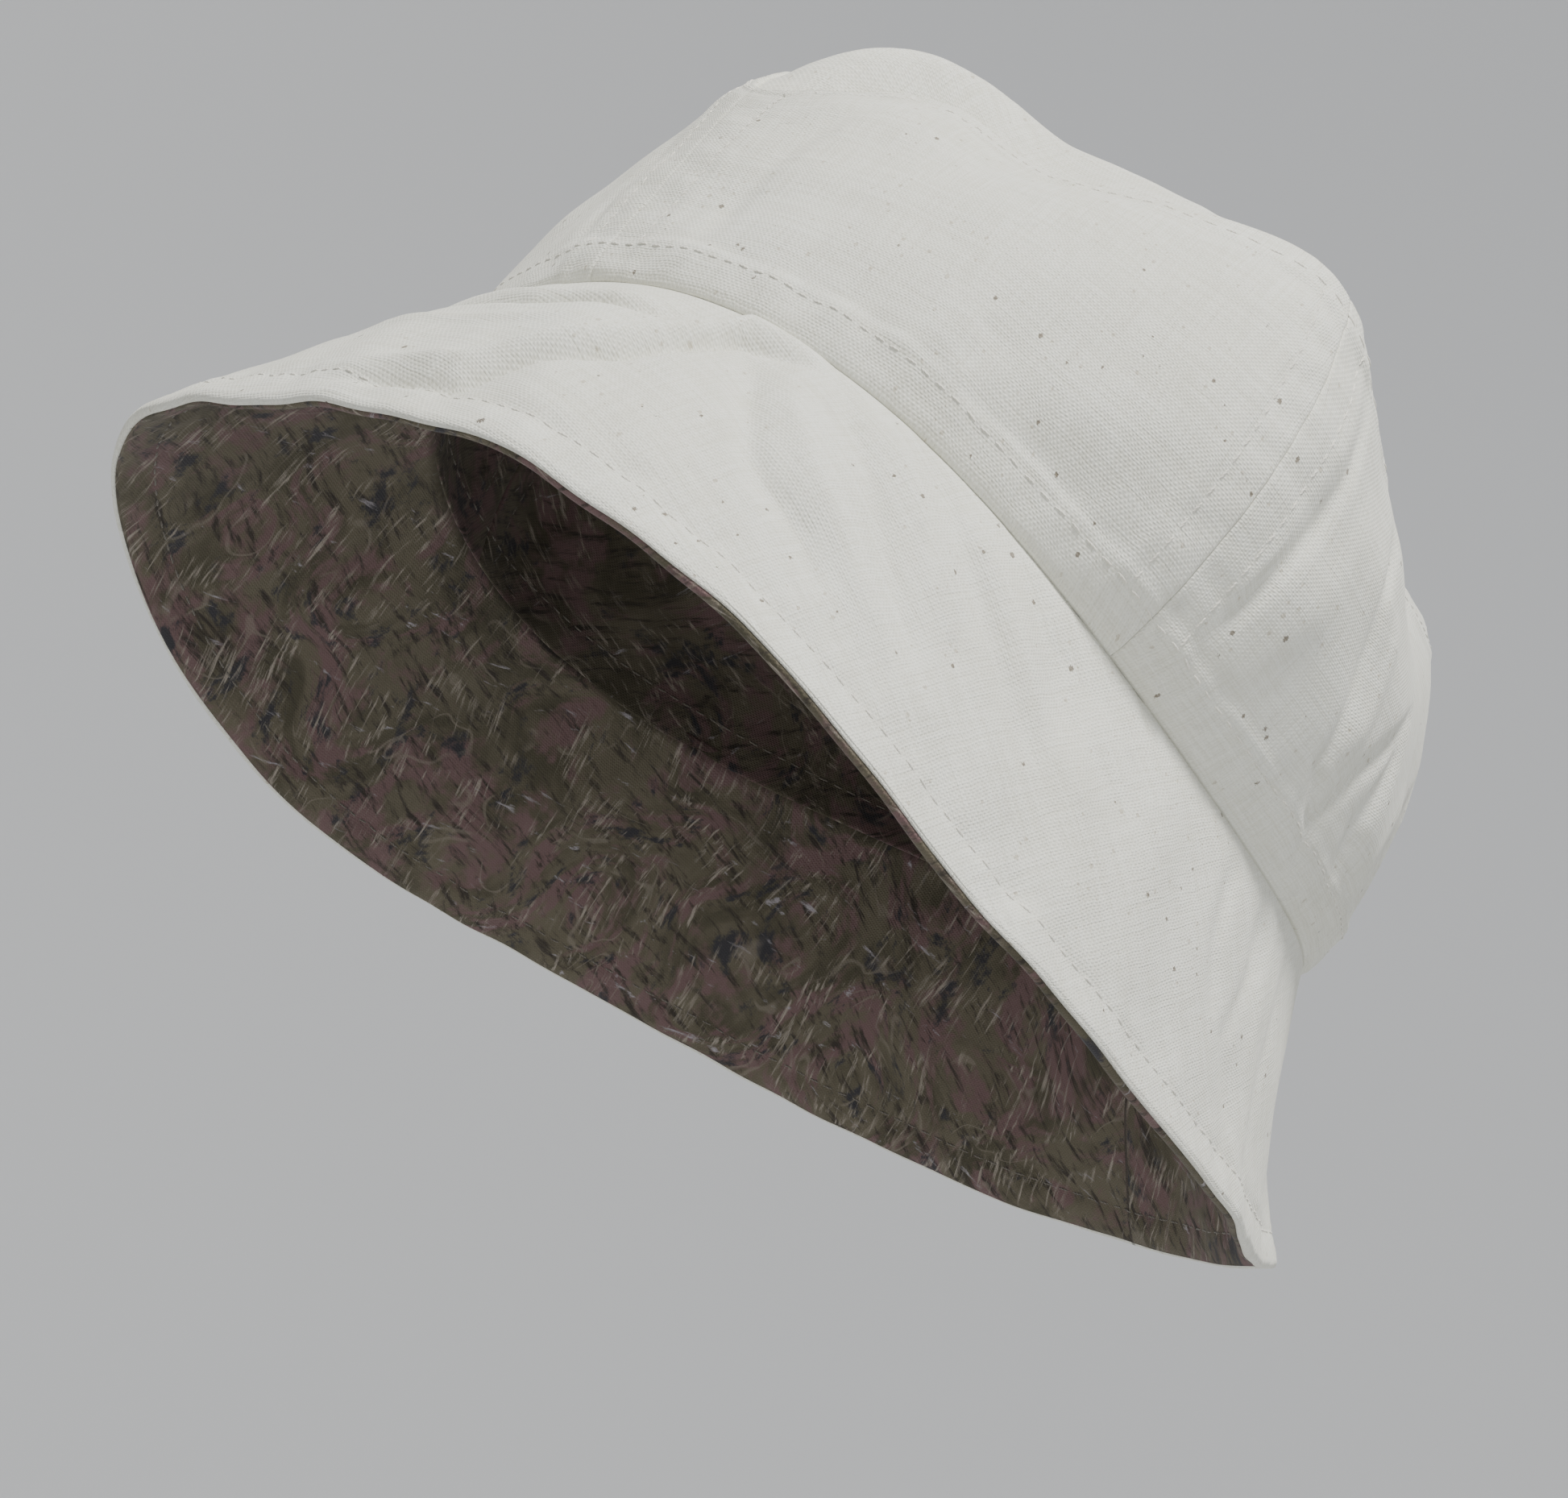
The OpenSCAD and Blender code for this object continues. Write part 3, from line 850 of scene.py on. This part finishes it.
class Shader:
    """A material's node tree, built up by short calls."""

    def __init__(self, name, roughness, sheen, sheen_tint):
        self.material = bpy.data.materials.new(name)
        self.material.use_nodes = True
        self.tree = self.material.node_tree
        self.surface = self.tree.nodes["Principled BSDF"]
        self.surface.inputs["Roughness"].default_value = roughness
        self.surface.inputs["Specular IOR Level"].default_value = 0.25
        self.surface.inputs["Sheen Weight"].default_value = sheen
        self.surface.inputs["Sheen Roughness"].default_value = 0.5
        self.surface.inputs["Sheen Tint"].default_value = (*sheen_tint, 1)

    def node(self, kind, inputs=(), **settings):
        node = self.tree.nodes.new("ShaderNode" + kind)
        for name, value in settings.items():
            setattr(node, name, value)
        for socket, value in dict(inputs).items():
            self.put(node.inputs[socket], value)
        return node

    def put(self, socket, value):
        if isinstance(value, bpy.types.NodeSocket):
            self.tree.links.new(value, socket)
        else:
            socket.default_value = value

    def math(self, operation, a, b=0.0, c=0.0):
        return self.node("Math", {0: a, 1: b, 2: c}, operation=operation).outputs[0]

    def times(self, a, b):
        return self.math("MULTIPLY", a, b)

    def grain(self):
        return self.node("UVMap", uv_map="Grain").outputs["UV"]

    def scaled(self, vector, x, y, z=1.0, shift=0.0):
        """A vector divided by sizes in mm, so that a pattern repeats about once in each."""
        size = (1 / x, 1 / y, 1 / z)
        place = (shift, shift * 0.7, shift * 0.3)
        settings = {"Vector": vector, "Scale": size, "Location": place}
        return self.node("Mapping", settings).outputs["Vector"]

    def noise(self, vector, detail=2.0, roughness=0.5, distortion=0.0):
        settings = {"Vector": vector, "Scale": 1.0, "Detail": detail}
        settings.update({"Roughness": roughness, "Distortion": distortion})
        return self.node("TexNoise", settings).outputs["Fac"]

    def between(self, value, low, high, soft=True):
        """0 below low, 1 above high."""
        kind = "SMOOTHSTEP" if soft else "LINEAR"
        settings = {"Value": value, "From Min": low, "From Max": high}
        return self.node("MapRange", settings, interpolation_type=kind).outputs["Result"]

    def mix(self, share, one, two, blend="MIX"):
        node = self.node("Mix", data_type="RGBA", blend_type=blend)
        for socket, value in ((0, share), (6, one), (7, two)):
            if isinstance(value, tuple):
                value = (*value, 1)
            self.put(node.inputs[socket], value)
        return node.outputs[2]

    def bump(self, height, distance, strength=1.0, normal=None):
        settings = {"Height": height, "Distance": distance, "Strength": strength}
        if normal is not None:
            settings["Normal"] = normal
        return self.node("Bump", settings).outputs["Normal"]

    def finish(self, colour, normal):
        self.put(self.surface.inputs["Base Color"], colour)
        self.put(self.surface.inputs["Normal"], normal)
        return self.material


def plain_weave(shader, grain, pitch):
    """Height of a plain weave: threads pass over and under each other, and wander a little."""
    drift = shader.noise(shader.scaled(grain, 6.0, 6.0))
    parts = shader.node("SeparateXYZ", {0: grain})
    wander = shader.times(drift, pitch * 2.5)
    lines = []
    for axis in (0, 1):
        place = shader.math("ADD", parts.outputs[axis], wander)
        lines.append(shader.math("SINE", shader.times(place, math.pi / pitch)))
    over = shader.times(lines[0], lines[1])
    one, two = (shader.math("ABSOLUTE", line) for line in lines)
    ridges = shader.math("ADD", one, two)
    return shader.math("ADD", shader.times(over, 0.35), shader.times(ridges, 0.35))


def slubs(shader, grain, shift=0.0):
    """Uneven threads in both directions: thicker and thinner stretches of yarn."""
    upright = shader.noise(shader.scaled(grain, 0.5, 11.0, shift=shift), 2.0, 0.6)
    level = shader.noise(shader.scaled(grain, 13.0, 0.55, shift=shift + 5), 2.0, 0.6)
    return shader.times(shader.math("ADD", upright, level), 0.5)


def flecks(shader, grain, cell, share, size, shift):
    """1 on scattered specks of seed husk. share is how many cells hold one."""
    vector = shader.scaled(grain, cell, cell * 1.25, shift=shift)
    speck = shader.node("TexVoronoi", {"Vector": vector, "Scale": 1.0, "Randomness": 1.0})
    chance = shader.node("SeparateColor", {0: speck.outputs["Color"]})
    clusters = shader.noise(shader.scaled(grain, 28.0, 24.0, shift=shift))
    wanted = shader.times(shader.between(clusters, 0.36, 0.66), share)
    chosen = shader.math("LESS_THAN", chance.outputs[0], wanted)
    radius = shader.math("MULTIPLY_ADD", chance.outputs[1], size / cell, 0.45 * size / cell)
    ragged = shader.noise(shader.scaled(grain, 0.3, 0.2), 1.0)
    edge = shader.times(radius, shader.math("MULTIPLY_ADD", ragged, 1.6, 0.2))
    inside = shader.math("LESS_THAN", speck.outputs["Distance"], edge)
    return shader.times(inside, chosen)


CALICO_PITCH = 0.46      # from thread to thread, in mm
PRINT_PITCH = 0.36

# The calico's flecks: (cell, share of cells, size, shift, strength, colour), small to bold.
FLECKS = [
    (2.3, 1.4, 0.27, 3.0, 0.45, (0.36, 0.29, 0.19)),
    (3.9, 1.15, 0.32, 11.0, 0.8, (0.12, 0.085, 0.05)),
    (11.0, 1.3, 0.52, 23.0, 0.85, (0.08, 0.055, 0.035)),
]


def calico():
    """Unbleached plain-weave cotton with dark flecks of seed husk."""
    shader = Shader("Calico", 0.88, 0.22, (1.0, 0.98, 0.93))
    grain = shader.grain()
    weave = plain_weave(shader, grain, CALICO_PITCH)
    uneven = slubs(shader, grain)
    mottle = shader.noise(shader.scaled(grain, 34.0, 30.0), 3.0)
    colour = shader.mix(mottle, (0.775, 0.768, 0.675), (0.86, 0.868, 0.80))
    thinner = shader.mix(1.0, colour, (0.9, 0.89, 0.86), "MULTIPLY")
    colour = shader.mix(shader.between(uneven, 0.38, 0.6), thinner, colour)
    smudge = shader.noise(shader.scaled(grain, 5.0, 4.0, shift=17), 4.0, 0.65)
    smudge = shader.between(smudge, 0.58, 0.72)
    colour = shader.mix(shader.times(smudge, 0.22), colour, (0.6, 0.585, 0.55))
    shade = shader.mix(shader.between(weave, 0.05, 0.5), (0.88, 0.87, 0.85), (1.0, 1.0, 1.0))
    colour = shader.mix(1.0, colour, shade, "MULTIPLY")
    for cell, share, size, shift, strength, tint in FLECKS:
        specks = flecks(shader, grain, cell, share, size, shift)
        colour = shader.mix(shader.times(specks, strength), colour, tint)
    normal = shader.bump(uneven, 0.00024)
    normal = shader.bump(weave, 0.00011, 1.0, normal)
    return shader.finish(colour, normal)


def strokes(shader, vector, length, width, turn, shift):
    """Soft brush strokes of one direction, near 0.5 on average."""
    settings = {"Vector": vector, "Axis": (0, 0, 1), "Angle": math.radians(turn)}
    turned = shader.node("VectorRotate", settings, rotation_type="AXIS_ANGLE").outputs[0]
    return shader.noise(shader.scaled(turned, length, width, shift=shift), 5.0, 0.65, 0.25)


def printed_cotton():
    """Cotton printed with soft brush strokes in muted olive, mauve, brown and grey."""
    shader = Shader("Printed cotton", 0.9, 0.12, (0.8, 0.78, 0.75))
    grain = shader.grain()
    broad = shader.scaled(grain, 38.0, 38.0)
    swirl = shader.node("TexNoise", {"Vector": broad, "Scale": 1.0, "Detail": 1.0}).outputs["Color"]
    bend = shader.node("VectorMath", {0: swirl, 3: 11.0}, operation="SCALE").outputs[0]
    flowing = shader.node("VectorMath", {0: grain, 1: bend}, operation="ADD").outputs[0]
    ground = shader.noise(shader.scaled(flowing, 24.0, 17.0), 4.0, 0.6)
    ground = shader.between(ground, 0.36, 0.6)
    colour = shader.mix(ground, (0.082, 0.073, 0.048), (0.135, 0.118, 0.082))
    mauve = shader.noise(shader.scaled(flowing, 17.0, 12.0, shift=7), 4.0, 0.65)
    colour = shader.mix(shader.between(mauve, 0.47, 0.6), colour, (0.165, 0.104, 0.1))
    shadows = strokes(shader, flowing, 11.0, 1.5, 35, 3)
    colour = shader.mix(shader.between(shadows, 0.5, 0.68), colour, (0.045, 0.037, 0.03))
    charcoal = shader.noise(shader.scaled(flowing, 12.0, 8.0, shift=19), 5.0, 0.68)
    colour = shader.mix(shader.between(charcoal, 0.56, 0.66), colour, (0.045, 0.043, 0.047))
    pale = strokes(shader, flowing, 9.0, 0.9, -20, 13)
    patches = shader.noise(shader.scaled(flowing, 14.0, 14.0, shift=31), 2.0)
    patches = shader.between(patches, 0.42, 0.6)
    pale = shader.times(shader.between(pale, 0.52, 0.68), patches)
    colour = shader.mix(pale, colour, (0.34, 0.30, 0.25))
    lilac = strokes(shader, flowing, 13.0, 2.4, 60, 29)
    colour = shader.mix(shader.between(lilac, 0.62, 0.74), colour, (0.37, 0.345, 0.36))
    twig = shader.noise(shader.scaled(flowing, 21.0, 13.0, shift=43), 1.0)
    twig = shader.math("ABSOLUTE", shader.math("SUBTRACT", twig, 0.5))
    twig = shader.math("SUBTRACT", 1.0, shader.between(twig, 0.004, 0.02))
    some = shader.between(shader.noise(shader.scaled(grain, 9.0, 9.0, shift=51), 2.0), 0.5, 0.62)
    twig = shader.times(shader.times(twig, some), 0.45)
    colour = shader.mix(twig, colour, (0.26, 0.225, 0.18))
    weave = plain_weave(shader, grain, PRINT_PITCH)
    shade = shader.mix(shader.between(weave, 0.05, 0.5), (0.8, 0.8, 0.8), (1.0, 1.0, 1.0))
    colour = shader.mix(1.0, colour, shade, "MULTIPLY")
    normal = shader.bump(slubs(shader, grain, 2.0), 0.00008)
    return shader.finish(colour, shader.bump(weave, 0.00007, 1.0, normal))


def interlining():
    """Pressed white fibres, for the stiffener."""
    shader = Shader("Interlining", 0.95, 0.1, (1.0, 1.0, 1.0))
    grain = shader.grain()
    fibres = shader.noise(shader.scaled(grain, 0.5, 0.8), 4.0, 0.7, 1.5)
    colour = shader.mix(fibres, (0.78, 0.77, 0.74), (0.92, 0.915, 0.9))
    return shader.finish(colour, shader.bump(fibres, 0.0001))


def thread_material(name, dark, light):
    """Two-ply sewing thread: the plies wind round it, with painted shade in the grooves between
    them, and its colour varies a little.
    """
    shader = Shader(name, 0.6, 0.3, (1.0, 1.0, 0.95))
    grain = shader.grain()
    parts = shader.node("SeparateXYZ", {0: grain})
    round_it = shader.times(parts.outputs[1], 9.8)
    winding = shader.math("MULTIPLY_ADD", parts.outputs[0], 9.0, round_it)
    plies = shader.math("MULTIPLY_ADD", shader.math("SINE", winding), 0.5, 0.5)
    uneven = shader.noise(shader.scaled(grain, 9.0, 1.0), 2.0)
    # Painted shade: the colour is darker in the grooves between the plies, and it also varies a
    # little along the thread.
    colour = shader.mix(shader.times(plies, uneven), dark, light)
    return shader.finish(colour, shader.bump(plies, 0.00005))


MATERIALS = {
    "calico": calico(),
    "printed_cotton": printed_cotton(),
    "interlining": interlining(),
    "cream_thread": thread_material("Cream thread", (0.74, 0.71, 0.62), (0.93, 0.92, 0.87)),
    "grey_thread": thread_material("Grey thread", (0.12, 0.105, 0.085), (0.24, 0.215, 0.18)),
}


# ---- The whole hat ----


def place_piece(piece, node, slot):
    """Gives a piece its material and its body, and hides the CAD part that it stands for."""
    face_out(piece)
    piece.data.materials.append(MATERIALS[slot])
    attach(piece, "root")
    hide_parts(node)


# How finely each cloth is meshed: mm between points of a panel, steps from a tip's middle
# to its rim, and columns round a brim by steps across it.
CALICO_STEP = 0.75
PRINT_STEP = 1.0
CALICO_TIP_STEPS = 80
PRINT_TIP_STEPS = 60
CALICO_BRIM_GRID = (840, 78)
PRINT_BRIM_GRID = (720, 66)
STIFFENER_GRID = (420, 32)


def place_cloth(piece, node, slot):
    """Places a piece of cloth."""
    place_piece(piece, node, slot)


def make_crown():
    calico_layer = (crown_relief, 0.0, OUTER_CLOTH, CALICO_STEP)
    print_layer = (lining_crown_relief, CROWN_LINING_LIFT, LINING_CLOTH, PRINT_STEP)
    for i in range(1, PANELS + 1):
        outer = panel_piece(f"calico_panel_{i}", i, *calico_layer)
        place_cloth(outer, f"outer_panel_{i}", "calico")
        inner = panel_piece(f"printed_panel_{i}", i, *print_layer)
        place_cloth(inner, f"lining_panel_{i}", "printed_cotton")


def make_tips():
    calico_layer = (tip_relief, 0.0, OUTER_CLOTH, CALICO_TIP_STEPS)
    print_layer = (lining_tip_relief, CROWN_LINING_LIFT, LINING_CLOTH, PRINT_TIP_STEPS)
    outer = tip_piece("calico_tip", *calico_layer)
    place_cloth(outer, "outer_tip", "calico")
    inner = tip_piece("printed_tip", *print_layer)
    place_cloth(inner, "lining_tip", "printed_cotton")


def make_brim():
    calico_layer = (brim_relief, 0.0, OUTER_CLOTH, CALICO_BRIM_GRID)
    print_layer = (lining_brim_relief, BRIM_LINING_LIFT, LINING_CLOTH, PRINT_BRIM_GRID)
    outer = brim_piece("calico_brim", *calico_layer, outside=True)
    place_cloth(outer, "outer_brim", "calico")
    inner = brim_piece("printed_brim", *print_layer, outside=False)
    place_cloth(inner, "lining_brim", "printed_cotton")
    middle = stiffener_piece("brim_interlining", *STIFFENER_GRID)
    place_cloth(middle, "brim_stiffener", "interlining")


def panel_rows(lift, relief, outside):
    seams = [FIRST_SEAM + i * PANEL_TURN for i in range(PANELS)]
    return [
        climbing_row(seam, side, lift, relief, outside, 40 + i * 2 + side)
        for i, seam in enumerate(seams)
        for side in (-1, 1)
    ]


def make_stitching():
    """Rows on the calico in cream thread, and rows on the print in grey."""
    calico_crown = (0.0, crown_relief, True)
    calico_brim = (0.0, brim_relief, True)
    print_crown = (CROWN_LINING_LIFT - LINING_CLOTH, lining_crown_relief, False)
    print_brim = (BRIM_LINING_LIFT - LINING_CLOTH, lining_brim_relief, False)
    tip_level = PANEL_HEIGHT - TIP_MARGIN
    cream = {
        "panel_topstitching": panel_rows(*calico_crown),
        "tip_topstitching": [crown_row(tip_level, *calico_crown, 21)],
        "band_topstitching": [crown_row(BAND_MARGIN, *calico_crown, 22)],
        "brim_edge_topstitching": [brim_edge_row(*calico_brim, 23)],
    }
    grey = {
        "lining_panel_topstitching": panel_rows(*print_crown),
        "lining_tip_topstitching": [crown_row(tip_level, *print_crown, 24)],
        "lining_band_topstitching": [crown_row(BAND_MARGIN, *print_crown, 25)],
        "brim_edge_bobbin_thread": [brim_edge_row(*print_brim, 26)],
    }
    for slot, layers in (("cream_thread", cream), ("grey_thread", grey)):
        for node, rows in layers.items():
            place_piece(join_tubes("stitches_" + node, rows), node, slot)


# ---- The studio ----

VIEW_AZIMUTH = 43.4
VIEW_ELEVATION = -17.8
VIEW_ROLL = 35.1
VIEW_DISTANCE = 0.6557
VIEW_ASIDE = (-0.0204, -0.0201)
VIEW_TARGET = Vector((0, 0, 0.01))
SENSOR_WIDTH = 36.0
LENS = 87.3


def view_axes():
    """Right, up and backward directions of the camera."""
    a, e, r = (math.radians(x) for x in (VIEW_AZIMUTH, VIEW_ELEVATION, VIEW_ROLL))
    back = Vector((math.sin(a) * math.cos(e), -math.cos(a) * math.cos(e), math.sin(e)))
    level = Vector((math.cos(a), math.sin(a), 0))
    upright = back.cross(level)
    right = math.cos(r) * level + math.sin(r) * upright
    up = math.cos(r) * upright - math.sin(r) * level
    return right, up, back


def add_camera():
    right, up, back = view_axes()
    data = bpy.data.cameras.new("Camera")
    data.lens = LENS
    data.sensor_width = SENSOR_WIDTH
    data.clip_start = 0.01
    data.clip_end = 20
    camera = bpy.data.objects.new("Camera", data)
    bpy.context.scene.collection.objects.link(camera)
    place = VIEW_TARGET + right * VIEW_ASIDE[0] + up * VIEW_ASIDE[1] + back * VIEW_DISTANCE
    turn = Matrix((right, up, back)).transposed().to_4x4()
    camera.matrix_world = Matrix.Translation(place) @ turn
    bpy.context.scene.camera = camera


def add_area_light(name, place, size, power, colour=(1, 1, 1)):
    data = bpy.data.lights.new(name, "AREA")
    data.shape = "DISK"
    data.size = size
    data.energy = power
    data.color = colour
    light = bpy.data.objects.new(name, data)
    bpy.context.scene.collection.objects.link(light)
    light.location = place
    light.rotation_euler = (VIEW_TARGET - Vector(place)).to_track_quat("-Z", "Y").to_euler()


def from_azimuth(azimuth, elevation, distance):
    """A place at a distance from the hat, in a direction round it and above it."""
    level = distance * cos(elevation)
    height = distance * sin(elevation)
    return VIEW_TARGET + Vector((level * sin(azimuth), -level * cos(azimuth), height))


def add_lights():
    key = from_azimuth(24, 52, 1.5)
    fill = from_azimuth(85, 0, 1.6)
    top = from_azimuth(-150, 70, 1.6)
    add_area_light("Key", key, size=0.32, power=35.0, colour=(1.0, 0.99, 0.965))
    add_area_light("Fill", fill, size=1.2, power=5.0, colour=(0.95, 0.97, 1.0))
    add_area_light("Top", top, size=1.2, power=6.0)
    world = bpy.data.worlds.new("World")
    world.use_nodes = True
    sky = world.node_tree.nodes["Background"]
    sky.inputs["Color"].default_value = (0.9, 0.93, 1.0, 1)
    sky.inputs["Strength"].default_value = 0.3
    bpy.context.scene.world = world


def add_floor():
    """A pale floor that curves up into a wall all round, far below and behind the hat."""
    radius, corner, depth, height = 1.7, 0.9, -0.85, 2.4
    bend = [(radius + corner * sin(a), depth + corner * (1 - cos(a))) for a in range(0, 91, 6)]
    profile = [(r, depth) for r in (0.02, 0.5, 1.1)] + bend + [(radius + corner, height)]
    turns = 96
    points = [(r * cos(a), r * sin(a), z) for a in even_turns(turns) for r, z in profile]
    faces = grid_quads(turns, len(profile), True, False).tolist()
    mesh = bpy.data.meshes.new("Floor")
    mesh.from_pydata([tuple(map(float, p)) for p in points], [], faces)
    mesh.polygons.foreach_set("use_smooth", np.ones(len(faces), bool))
    material = bpy.data.materials.new("Floor paper")
    material.use_nodes = True
    surface = material.node_tree.nodes["Principled BSDF"]
    surface.inputs["Base Color"].default_value = (0.48, 0.485, 0.49, 1)
    surface.inputs["Roughness"].default_value = 0.95
    surface.inputs["Emission Color"].default_value = (0.6, 0.605, 0.61, 1)
    surface.inputs["Emission Strength"].default_value = 0.38
    mesh.materials.append(material)
    floor = bpy.data.objects.new("Floor", mesh)
    bpy.context.scene.collection.objects.link(floor)


FRAME_TOLERANCE = 6.0    # mm between the brim here and in the CAD model


def check_frame():
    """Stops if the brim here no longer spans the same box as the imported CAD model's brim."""
    turn = even_turns(720)
    low, high = (np.array(corner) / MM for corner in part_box("outer_brim"))
    edge = np.concatenate([brim_point(turn, 1.0), brim_point(turn, 0.0)])
    apart = max(np.abs(edge.min(0) - low).max(), np.abs(edge.max(0) - high).max())
    if apart > FRAME_TOLERANCE:
        raise SystemExit("The brim here differs from the CAD model: copy its driving values again")


check_frame()
add_camera()
add_lights()
add_floor()
make_crown()
make_tips()
make_brim()
make_stitching()
